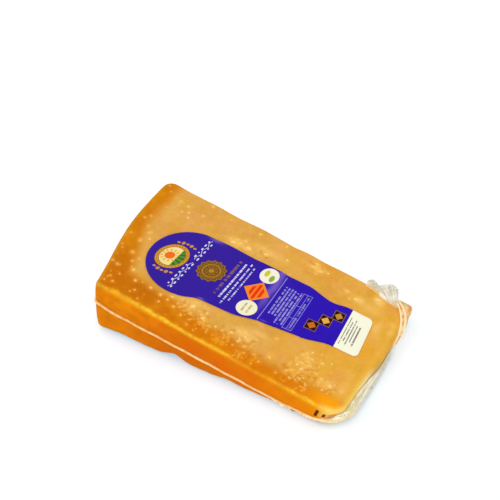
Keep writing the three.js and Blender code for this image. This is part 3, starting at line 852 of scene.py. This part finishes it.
def seam_form(stations):
    """A ridge with a half-round section along the stations, its root sunk in the film."""
    count = stations.shape[1] - 1

    def form(along, through, up):
        index = np.rint(along * count).astype(int)
        x, y, out_x, out_y = stations[:, index]
        at_back = fade(y, WIDTH - 20, WIDTH)
        climb = fade(x, SEAM_CLIMB_START, EAR_END - 8) * at_back
        middle = mix(seam_height(x, y), upper_face(x, y) - TOP_EDGE_RADIUS, climb)
        middle = middle + SEAM_RIPPLE * wave(x + y, 23, 0) * (1 - climb)
        swing = (up - 0.5) * math.pi
        ends = fade(index, 0, SEAM_FADE_CELLS[0]) * fade(count - index, 0, SEAM_FADE_CELLS[1])
        extra = SEAM_EXTRA_AT_THIN_END * fade(x, LENGTH - 23, LENGTH)
        stand_off = (SEAM_STAND_OFF + extra) * ends
        out = np.where(through > 0.5, stand_off * np.cos(swing) * 1.05 - 0.15, -SEAM_ROOT)
        z = middle + SEAM_WIDTH / 2 * mix(0.3, 1, ends) * np.sin(swing)
        return beside(x + out_x * out, y + out_y * out, z)

    return form


def seam_peach():
    # Its glow is painted light, for light shining through the welded film.
    paint, point, x, y, z = finish(
        "welded_film", Roughness=0.3, Specular_IOR_Level=0.25, Emission_Strength=0.24,
    )
    fine = point.grain(300, 2)
    colour = layered(
        rgb(252, 202, 124),
        (fine.fade(0.35, 0.7), 255, 224, 162),
        (x.fade(150, 200), 246, 226, 168),
        # Painted shade: greyer along the thin end, where the shadowed sheet shows through it.
        (x.fade(185, 203) * y.fade(8, 34), 220, 216, 200),
        ((0.5 - fine) * x.fade(160, 200) * 1.6, 204, 180, 128),
        (y.fade(80, 92) * x.fade(180, 190), 255, 230, 184),
    )
    # Its painted glow is stronger at the front corner of the thin end, for the light shining through it
    # there.
    lit_through = (0.5 + x.fade(155, 195) * (1 - y.fade(10, 60)) * 0.5).tint(rgb(0, 0, 0), colour)
    return paint(Base_Color=colour, Emission_Color=lit_through, Alpha=0.88 + (fine - 0.5) * 0.5)


welded = seam_peach()
radius = SEAM_FRONT_CORNER_RADIUS
seam_path = follow(
    [
        (EAR_END - 8, WIDTH, RIND_BACK_RADIUS, WIDTH),
        (RIND_BACK_RADIUS, WIDTH - RIND_BACK_RADIUS, RIND_BACK_RADIUS, math.pi / 2, math.pi),
        (0, WIDTH - RIND_BACK_RADIUS, 0, RIND_FRONT_RADIUS),
        (RIND_FRONT_RADIUS, RIND_FRONT_RADIUS, RIND_FRONT_RADIUS, math.pi, 1.5 * math.pi),
        (RIND_FRONT_RADIUS, 0, LENGTH - radius, 0),
        (LENGTH - radius, radius, radius, -math.pi / 2, 0),
        (LENGTH, radius, LENGTH, CROSSING_CENTRE[1] - 8),
    ],
    SEAM_STEP,
)
seam_block = carve((seam_path.shape[1] - 1, 1, 6), seam_form(seam_path))
piece("seam", seam_block, welded)


# ---------------------------------------------------------------------------------------------
# The hem: a narrow edge of film trimmed off outside the seam. Beside the thin end's front corner
# it has curled into small stiff flecks that stand off the foot.

HEM_DEPTH = 0.9
HEM_STAND_OFF = 0.9
HEM_START = 136
HEM_END_ANGLE = -0.9  # round the front corner, where 0 faces straight out of the thin end
HEM_STEP = 0.45
corner_arc = (LENGTH - radius, radius, radius, -math.pi / 2, HEM_END_ANGLE)
hem_path = follow([(HEM_START, 0, LENGTH - radius, 0), corner_arc], HEM_STEP)


def hem_form(along, through, up):
    x, y, out_x, out_y = hem_path[:, np.rint(along * (hem_path.shape[1] - 1)).astype(int)]
    flick = np.clip(1.5 * turbulence(x, y, 0 * x, 4.2, 31) + 0.5, 0.1, 1.1)
    flick = flick * fade(along, 0, 0.25) * (1 - fade(along, 0.8, 1)) * (1 - up)
    z = np.maximum(seam_height(x, y) - 0.4 - HEM_DEPTH * flick, 0.1)
    out = 0.3 + HEM_STAND_OFF * flick + 0.25 * (through - 0.5)
    return beside(x + out_x * out, y + out_y * out, z)


def trimmed_film():
    # The flecks glow a little: painted light, for light shining through the film.
    paint, point, *_ = finish("trimmed_film", Roughness=0.25, IOR=1.5, Emission_Strength=0.15)
    flecks = point.scaled(1, 1, 0.3).grain(420, 1)
    colour = layered(
        rgb(158, 104, 44), (flecks.fade(0.38, 0.46), 255, 232, 172), (flecks.fade(0.52, 0.62), 255, 250, 226),
    )
    return paint(Base_Color=colour, Emission_Color=colour, Alpha=0.8 + (flecks - 0.5) * 0.8)


hem_block = carve((hem_path.shape[1] - 1, 1, 4), hem_form)
piece("hem", hem_block, trimmed_film(), shadow=False)


# ---------------------------------------------------------------------------------------------
# The gathered back corner: at the ear the seam splits into drawn-out strands of film, which lie
# over the corner of the upper face and run down the thin end to its foot.

STRANDS = [  # the places (x, y, height over the upper face) each one runs through
    [(191.5, 116.4, 2.2), (196.8, 113, 1.4), (202, 107.2, 1), (205.4, 101.4, 0.6), (207.3, 95.6, -0.8),
     (207.4, 91, -6), (205.9, 87.6, -12), (204.4, 84, -15.4)],
    [(191.5, 117.4, 3), (198, 115.4, 1.4), (203.4, 111, 0.8), (207.2, 105.2, 0.2), (209, 99.6, -1.6),
     (208.6, 94.5, -6.5), (207, 90, -12), (204.8, 85, -15.6)],
]
WEB = [
    (190.5, 115.8, 2.2), (197.2, 114, 1), (202.4, 109.2, 0.2), (206, 103.4, -0.3), (207.8, 98, -1.6),
    (207.6, 93, -6.4), (206.2, 89, -12.2), (204.6, 84.5, -15.8),
]
STRAND_SECTION = (1.1, 0.8)  # half width, half height
WEB_SECTION = (2.4, 0.12)
ROUTE_CELLS = 64


def strand_form(route, half_width, half_height):
    stops = np.linspace(0, 1, len(route))

    def form(along, through, up):
        nearby = [np.clip(along + shift, 0, 1) for shift in (-0.05, 0, 0.05)]
        at_x, at_y, over = (
            np.mean([np.interp(place, stops, axis) for place in nearby], axis=0) for axis in zip(*route)
        )
        turn = np.arctan2(up - 0.5, through - 0.5)
        bearing = math.pi / 2 - (math.radians(100) * along - 0.3)
        taper = 0.55 + 0.45 * np.sin(math.pi * along)
        across = half_width * taper * np.cos(turn)
        x = at_x + across * np.cos(bearing)
        y = at_y + across * np.sin(bearing)
        z = upper_face(at_x, at_y) + over + half_height * np.sin(turn)
        return x, y, np.maximum(z, 0)

    return form


rope = bmesh.new()
for route in STRANDS:
    strand = carve((ROUTE_CELLS, 3, 3), strand_form(route, *STRAND_SECTION))
    drawn_out = bpy.data.meshes.new("strand")
    strand.to_mesh(drawn_out)
    strand.free()
    rope.from_mesh(drawn_out)
    bpy.data.meshes.remove(drawn_out)
piece("strands", rope, welded, shadow=False)


def web_film():
    # It glows a little: painted light, for light shining through the film into the gap between the strands.
    paint, point, *_ = finish("drawn_out_film", Roughness=0.2, IOR=1.5, Emission_Strength=0.2)
    lines = point.scaled(1, 0.3, 1).grain(500, 1)
    colour = lines.fade(0.35, 0.65).tint(rgb(214, 170, 112), rgb(238, 208, 154))
    return paint(Base_Color=colour, Emission_Color=colour, Alpha=0.7 + (lines - 0.5) * 0.6)


web_block = carve((ROUTE_CELLS, 4, 1), strand_form(WEB, *WEB_SECTION))
piece("web", web_block, web_film(), shadow=False)


# ---------------------------------------------------------------------------------------------
# The ear: the spare film outside the seam, shrunk into a crumpled double-walled fin that stands up
# from the back edge and leans outwards.

EAR_START = 168
EAR_HEIGHT = 10
EAR_THICKNESS = 1.9
EAR_ROOT = 2.5
EAR_LEAN = 5
EAR_ROOT_INSET = (2.6, 8.8)  # from the back face, at the ear's start and towards its end
EAR_TOP_INSET = (2.2, 5.5)
EAR_CRUMPLES = [  # depth, skew, pitch, phase
    (0.9, 0.3, 0.29, 0.4), (0.6, -0.5, 0.13, 1), (0.15, 0.2, 0.07, 2),
]
EAR_CROWN = [  # x, share of the full height
    (168, 0.3), (169.8, 0.54), (173, 0.52), (176.6, 0.44), (180.4, 0.56), (184, 0.8), (187.5, 0.96),
    (191, 1.0), (193, 0.92), (194.4, 0.6), (195.6, 0.24), (197, 0.1),
]


def ear_form(along, through, up):
    x = mix(EAR_START, EAR_END, along)
    back_face = settle(x, np.full_like(x, WIDTH), 1)[1]
    root_inset = mix(*EAR_ROOT_INSET, fade(x, EAR_START, 194))
    crown = np.mean([np.interp(x + shift, *zip(*EAR_CROWN)) for shift in (-0.7, 0, 0.7)], axis=0)
    rise = mix(-EAR_ROOT, EAR_HEIGHT * crown, up)
    share = np.maximum(rise, 0) / EAR_HEIGHT
    crumple = sum(
        depth * wave(along + skew * share, pitch, phase) * share for depth, skew, pitch, phase in EAR_CRUMPLES
    )
    top_y = back_face - mix(*EAR_TOP_INSET, fade(x, 180, EAR_END)) + EAR_LEAN
    y = mix(back_face - root_inset, top_y, np.clip(share, 0, 1) ** 1.1) + crumple
    y = y + (through - 0.5) * EAR_THICKNESS * mix(1, 0.4, share)
    return x, y, upper_face(x, np.minimum(y, WIDTH)) + rise


def ear_film():
    """Thick crumpled film, milky, with white creases that fan out from the gathered corner."""
    # It glows a little: painted light, for light shining through the film.
    paint, point, x, y, z = finish("crumpled_film", Roughness=0.16, IOR=1.5, Emission_Strength=0.1)
    out_x, out_z = 197 - x, z - 18
    bearing, reach = point.math("ARCTAN2", out_z, out_x), out_x.reach(out_z)
    creases = point.node("ShaderNodeCombineXYZ", {}, {0: bearing * 6, 1: reach * 0.1}).grain(1.0, 1)
    soft = point.grain(150, 1)
    pale = creases.fade(0.38, 0.64)
    near_foot = 1 - (z - cut_height(x) + (soft - 0.5) * 8).fade(-0.5, 1.8)
    colour = layered(
        rgb(210, 203, 182),
        (pale, 244, 240, 226),
        ((soft - 0.5) * 1.8, 255, 254, 246),
        ((0.5 - soft) * 1.2, 196, 190, 170),
        (near_foot * 0.8, 248, 206, 120),
    )
    alpha = (0.78 + pale * 0.14 + (soft - 0.5) * 0.5).least(0.97)
    bumps = (creases + soft * 0.5).bumps(0.25, 0.5)
    return paint(Base_Color=colour, Emission_Color=colour, Alpha=alpha, Normal=bumps)


ear_block = carve((72, 1, 22), ear_form)
x, y, z = in_millimetres(ear_block)
push_out(ear_block, 0.25 * np.abs(turbulence(x, y, z, 5, 21)))
piece("ear", ear_block, ear_film(), shadow=False)


# ---------------------------------------------------------------------------------------------
# The label: glossy coated paper, die-cut with a round head, a waist and a square tail, printed in
# deep blue with a cream end. Its print is plain shapes, bars and lines. It is stuck to the film.

LABEL_CORNER_RADIUS = 4
LABEL_LIFT = 0.32
LABEL_THICKNESS = 0.18
LABEL_CELLS = (176, 56)
HEAD_CELLS = 30
TAIL_CELLS = 6


def label_form(share_along, share_across, up):
    index = np.rint(share_along * LABEL_CELLS[0])
    head_angle = mix(math.pi / 60, math.pi / 2, np.minimum(index / HEAD_CELLS, 1))
    body_share = np.clip((index - HEAD_CELLS) / (LABEL_CELLS[0] - HEAD_CELLS - TAIL_CELLS), 0, 1)
    body_end = LABEL_TAIL - LABEL_CORNER_RADIUS
    tail_angle = np.maximum(index - (LABEL_CELLS[0] - TAIL_CELLS), 0) / TAIL_CELLS * (math.pi / 2)
    s = mix(0, body_end, body_share) + LABEL_CORNER_RADIUS * np.sin(tail_angle)
    s = np.where(index < HEAD_CELLS, -LABEL_HEAD_REACH * np.cos(head_angle), s)
    trim = LABEL_CORNER_RADIUS * (1 - np.cos(tail_angle))
    to_front = label_half_width(LABEL_FRONT_EDGE, s) - trim
    to_back = label_half_width(LABEL_BACK_EDGE, s) - trim
    t = mix(-to_front, to_back, share_across)
    rim = np.minimum(np.minimum(to_back - t, t + to_front), LABEL_TAIL - s)
    t = t + LABEL_HEAD_SKEW * np.minimum(s, 0)
    x = LABEL_HEAD[0] + s * math.cos(LABEL_TURN) - t * math.sin(LABEL_TURN)
    y = LABEL_HEAD[1] + s * math.sin(LABEL_TURN) + t * math.cos(LABEL_TURN)
    # The paper cockles a little, one soft crease runs across it, and its rim is stuck down.
    cockle = 0.09 * turbulence(x, y, 0 * x, 14, 40) + 0.05 * turbulence(x, y, 0 * x, 5, 44)
    crease = 0.16 * bell(s - 64 - 0.25 * t, 1.6) * fade(t, -24, 10)
    stuck = fade(rim, 0, 2.2)
    lift = mix(0.1, LABEL_LIFT + cockle + crease, stuck)
    return x, y, upper_face(x, y) + lift + LABEL_THICKNESS * up


def label_print():
    paint, point, x, y, z = finish("coated_paper_print", Specular_IOR_Level=0.06, IOR=1.45)
    s, t = on_label(x, y)
    # The print is set a little askew on the paper, most at the head.
    s = s - t * (0.262 - 0.00173 * s)

    def bar(s_from, s_to, t_from, t_to):
        inside = (s - s_from).least(s_to - s).least((t - t_from).least(t_to - t))
        return inside.fade(-0.12, 0.12)

    def away(at_s, at_t, stretch=1.0):
        return (s - at_s).reach((t - at_t) / stretch)

    def round_about(at_s, at_t, count):
        """Goes up and down count times on the way round a place."""
        return (point.math("ARCTAN2", s - at_s, t - at_t) * count).sine()

    def disc(distance, radius):
        return 1 - (distance - radius).fade(-0.15, 0.15)

    def ring(distance, radius, width):
        return 1 - (abs(distance - radius) - width / 2).fade(-0.12, 0.12)

    def dashes(s_middle, height, t_from, t_to, pitch, seed, gaps=0.42):
        """One row of uneven short dashes."""
        at = point.node("ShaderNodeCombineXYZ", {}, {0: t / pitch, 1: float(seed), 2: s_middle * 1.0})
        worn = at.grain(1.0, 1)
        return bar(s_middle - height / 2, s_middle + height / 2, t_from, t_to) * worn.fade(gaps, gaps + 0.05)

    white, pale, cream = rgb(236, 234, 250), rgb(176, 168, 226), rgb(250, 248, 222)
    mottle = point.grain(55, 2)
    # Painted sheen: lighter violet streaks and spots where the glossy paper catches the light.
    sheen = (s - 61 - (mottle - 0.5) * 8).bell(2.6) * t.fade(-24, 6) + (s - 2).bell(5) * (t - 29).bell(1.8)
    for at_s, at_t, along, across in (
        (8, 30.5, 5, 0.8), (24, -25.4, 2.4, 0.7), (57, 24.6, 3, 0.7), (70, -21, 2.6, 0.6),
    ):
        sheen = sheen + (s - at_s).bell(along) * (t - at_t).bell(across) * (0.8 + (mottle - 0.5) * 3)

    # Head: a beaded gold oval with a rayed sun over a ploughed field, between two sprigs.
    medal, sun = away(-15.2, -0.5, 1.1), away(-17.2, -0.5)
    inside = disc(medal, 8.7)
    field = (s + 11.8).fade(-0.15, 0.15) * inside
    furrows = (point.math("ARCTAN2", t + 0.5, s + 20) * 20).sine().fade(-0.1, 0.3) * field
    beads = round_about(-15.2, -0.5, 30).fade(-0.2, 0.5) * ring(medal, 10.1, 1.1)
    rays = round_about(-17.2, -0.5, 12).fade(-0.1, 0.4) * ring(sun, 5.4, 2.2) * inside
    colour = layered(
        rgb(54, 31, 154),
        (s.fade(0, 120), 45, 18, 180),
        ((mottle - 0.45) * 0.5, 60, 34, 176),
        (sheen * 0.42, 160, 128, 220),
        (disc(medal, 11.6), 112, 62, 30),
        (disc(medal, 11.2), 218, 156, 50),
        (beads * 0.8, 158, 96, 34),
        (disc(medal, 9.1), 112, 62, 30),
        (inside, 244, 222, 150),
        (rays, 238, 172, 60),
        (disc(sun, 3.6) * inside, 240, 112, 24),
        (field, 96, 142, 44),
        (furrows * 0.85, 52, 104, 34),
    )
    for side in (-1, 1):
        for leaf in range(5):
            at_s, at_t = -6.5 - 3.3 * leaf, -0.5 + side * (14.2 + 1.2 * math.sin(0.8 * leaf))
            colour = layered(colour, (disc(away(at_s, at_t, 0.7 + 0.5 * (leaf % 2)), 1.25), 206, 146, 46))

    # A vine with leaves, a rosette and rows of dashes.
    for vine_from, vine_to in ((-27, 1.5), (4.6, 26.5)):
        stem = abs(s + 0.4 - (t * 0.72).sine() * 0.8) - 0.16
        stem = (1 - stem.fade(-0.1, 0.2)) * bar(-4, 4, vine_from, vine_to)
        colour = (stem * 0.85).tint(colour, white)
        side, place = 1, vine_from + 1.2
        while place < vine_to - 0.8:
            leaf = disc(away(-0.4 + 1.7 * side, place, 1.0 + 0.5 * (place % 3)), 0.6)
            colour = (leaf * 0.9).tint(colour, white)
            side, place = -side, place + 2.1
    seal = away(15.5, 1.2)
    edge = seal - round_about(15.5, 1.2, 14) * 0.55
    beads = round_about(15.5, 1.2, 26).fade(-0.2, 0.5) * ring(seal, 6.3, 1.0)
    colour = layered(
        colour,
        (disc(edge, 10.4), 112, 76, 34),
        (ring(edge, 9.6, 0.5), 176, 128, 44),
        (disc(seal, 8.4), 150, 104, 30),
        (ring(seal, 7.4, 0.5), 96, 64, 34),
        (beads * 0.8, 196, 146, 56),
        (ring(seal, 5, 0.7), 106, 72, 30),
        (round_about(15.5, 1.2, 8).fade(-0.1, 0.4) * disc(seal, 4.2), 116, 78, 30),
        (disc(seal, 1.8), 186, 132, 40),
        (dashes(28.4, 2.2, -16, 20, 1.3, 5) * 0.7, 150, 108, 60),
        (dashes(33, 1.5, -17.5, 19.5, 0.95, 11, 0.45) * 0.92, white),
        (dashes(36.8, 1.2, -22, 21.5, 0.95, 12, 0.45) * 0.84, white),
        (dashes(40.2, 1.1, -17, 19, 0.95, 13, 0.45) * 0.76, white),
    )

    # An orange diamond with three red bars, between two cream discs, one with a pair of leaves.
    diamond = abs(s - 52.6) + abs(t - 0.6)
    bars = [(bar(at - 1.2, at + 1.2, -10, 11) * disc(diamond, 7.8), 234, 56, 18) for at in (48.9, 52.6, 56.3)]
    colour = layered(
        colour,
        (disc(diamond, 10.2), 248, 138, 36),
        *bars,
        (disc(away(53.2, 18.2), 7.3), 246, 240, 222),
        (disc(away(50.6, 19.6, 1.7), 1.9), 206, 204, 44),
        (disc(away(56, 16.6, 1.7), 1.9), 150, 176, 52),
        (disc(away(54.2, -16.2), 7.4), 244, 238, 204),
        (dashes(52.2, 1.4, -20.5, -12, 1.4, 21) + dashes(56, 1.4, -20.5, -12, 1.4, 22), 196, 180, 110),
    )

    # Thin rules, a block of rows and a small grid.
    colour = (bar(65.2, 65.7, -22, 23) * 0.8).tint(colour, pale)
    for row in range(6):
        start = -19 if row > 2 else -13
        colour = (dashes(69.5 + 2.5 * row, 1.3, start, 15.5, 1.5, 31 + row) * 0.7).tint(colour, pale)
    for place in (83.4, 86.6, 90.4):
        colour = (bar(place, place + 0.35, -20, 16) * 0.75).tint(colour, pale)
    for place in (-20, -9, 3, 15.7):
        colour = (bar(83.4, 90.7, place, place + 0.35) * 0.75).tint(colour, pale)
    colour = (dashes(88.6, 1.3, -18.5, 14, 1.7, 41) * 0.55).tint(colour, pale)

    # Three dark tiles with gold edges, set in steps, each with a bright diamond.
    for at_s, at_t, tile, *bright in (
        (101, -7.6, 4.6, 204, 104, 32), (108.2, 1.2, 4.6, 236, 168, 70), (115.2, 9.6, 4.4, 196, 140, 52),
    ):
        beside_it, along = abs(s - at_s), abs(t - at_t)
        colour = layered(
            colour,
            (disc(beside_it.most(along), tile), 150, 104, 48),
            (disc(beside_it.most(along), tile - 0.5), 40, 22, 26),
            (disc(beside_it + along, tile - 1.1), *bright),
        )

    # The cream end with faint grey rows.
    colour = (s - 122.3).fade(-0.15, 0.15).tint(colour, cream)
    for row, (middle, height, front, back) in enumerate([
        (124.4, 0.7, -13, 13.5), (126.6, 0.9, -9, 10), (128.8, 0.9, -12, 12.5), (131, 0.8, -8, 8.5),
        (133.6, 1.3, -10.5, 8),
    ]):
        grey = dashes(middle, height, front, back, 1.1, 61 + row, 0.34) * 0.8
        colour = layered(colour, (grey, 80, 78, 78))
    fibres = point.grain(700, 2)
    return paint(Base_Color=colour, Roughness=0.3 + (mottle - 0.5) * 0.2, Normal=fibres.bumps(0.12, 0.2))


label_block = carve((*LABEL_CELLS, 1), label_form)
label = piece("label_sheet", label_block, label_print())
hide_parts("label")


# ---------------------------------------------------------------------------------------------
# The table and the light: a white sheet under a large, soft light from the upper left, and the
# camera a long way off in front, above the thin end's side.

TABLE_SIZE = 6.0
TABLE_DROP = 0.0003  # below the chunk's resting plane
CONTACT_REACH = 0.009  # how far from the chunk the sheet darkens
SKY_STRENGTH = 0.9
WINDOW_PLACE = Vector((-1.1, -0.5, 1.9))
WINDOW_SIZE = 1.6
WINDOW_WATTS = 9
CAMERA_AZIMUTH = math.radians(28.4)
CAMERA_ELEVATION = math.radians(51)
CAMERA_DISTANCE = 2.5
CAMERA_TARGET = Vector((-0.03773, 0.06362, 0))
CAMERA_LENS = 232.53
CAMERA_SENSOR = 36

sheet = bmesh.new()
below = Matrix.Translation((0, 0, -TABLE_DROP))
bmesh.ops.create_grid(sheet, x_segments=2, y_segments=2, size=TABLE_SIZE / 2, matrix=below)
table_mesh = bpy.data.meshes.new("table_sheet")
sheet.to_mesh(table_mesh)
sheet.free()
table = add_object("table_sheet", table_mesh)
paint, point, x, y, z = finish("white_sheet", Roughness=0.9, Specular_IOR_Level=0.0, Emission_Strength=1.0)
contact = {"Distance": CONTACT_REACH}
# Painted contact shadow: occlusion darkens the sheet's colour and glow close to the chunk.
near_things = 1 - point.node("ShaderNodeAmbientOcclusion", {"samples": 8}, contact, output=1)
# The colour and glow are split unevenly between red and blue and change towards the thin end, to tint and
# deepen that painted shadow.
by_thin_end = x.fade(150, 200)
black = (0, 0, 0, 1)
sheet_white = by_thin_end.tint((0.92, 0.6, 0.44, 1), (0.8, 0.7, 0.64, 1))
sheet_glow = by_thin_end.tint((0.15, 0.53, 0.69, 1), (0.24, 0.38, 0.47, 1))
sheet_white = (near_things * (0.2 + by_thin_end * 0.18)).tint(sheet_white, black)
sheet_glow = (near_things * (0.24 + by_thin_end * 0.2)).tint(sheet_glow, black)
table_mesh.materials.append(paint(Base_Color=sheet_white, Emission_Color=sheet_glow))
table.visible_glossy = False
table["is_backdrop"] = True

sky = bpy.data.worlds.new("soft_room")
sky.use_nodes = True
sky.node_tree.nodes["Background"].inputs["Color"].default_value = (1, 1, 1, 1)
sky.node_tree.nodes["Background"].inputs["Strength"].default_value = SKY_STRENGTH
sky.cycles_visibility.glossy = False
bpy.context.scene.world = sky


def aim(name, data, place, direction):
    """Sets up a light or a camera that looks along a direction."""
    made = add_object(name, data)
    made.location = place
    made.rotation_mode = "QUATERNION"
    made.rotation_quaternion = direction.to_track_quat("-Z", "Y")
    return made


window = bpy.data.lights.new("window_softbox", "AREA")
window.size = WINDOW_SIZE
window.energy = WINDOW_WATTS
aim("window_softbox", window, WINDOW_PLACE, -WINDOW_PLACE)

view = bpy.data.cameras.new("camera")
view.sensor_width = CAMERA_SENSOR
view.lens = CAMERA_LENS
back = Vector((
    math.sin(CAMERA_AZIMUTH) * math.cos(CAMERA_ELEVATION),
    -math.cos(CAMERA_AZIMUTH) * math.cos(CAMERA_ELEVATION),
    math.sin(CAMERA_ELEVATION),
))
camera = aim("camera", view, CAMERA_TARGET + back * CAMERA_DISTANCE, -back)
bpy.context.scene.camera = camera
bpy.context.scene.view_settings.view_transform = "Standard"

visual_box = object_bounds()
[[list(corner) for corner in box] for box in (cad_box, visual_box)]
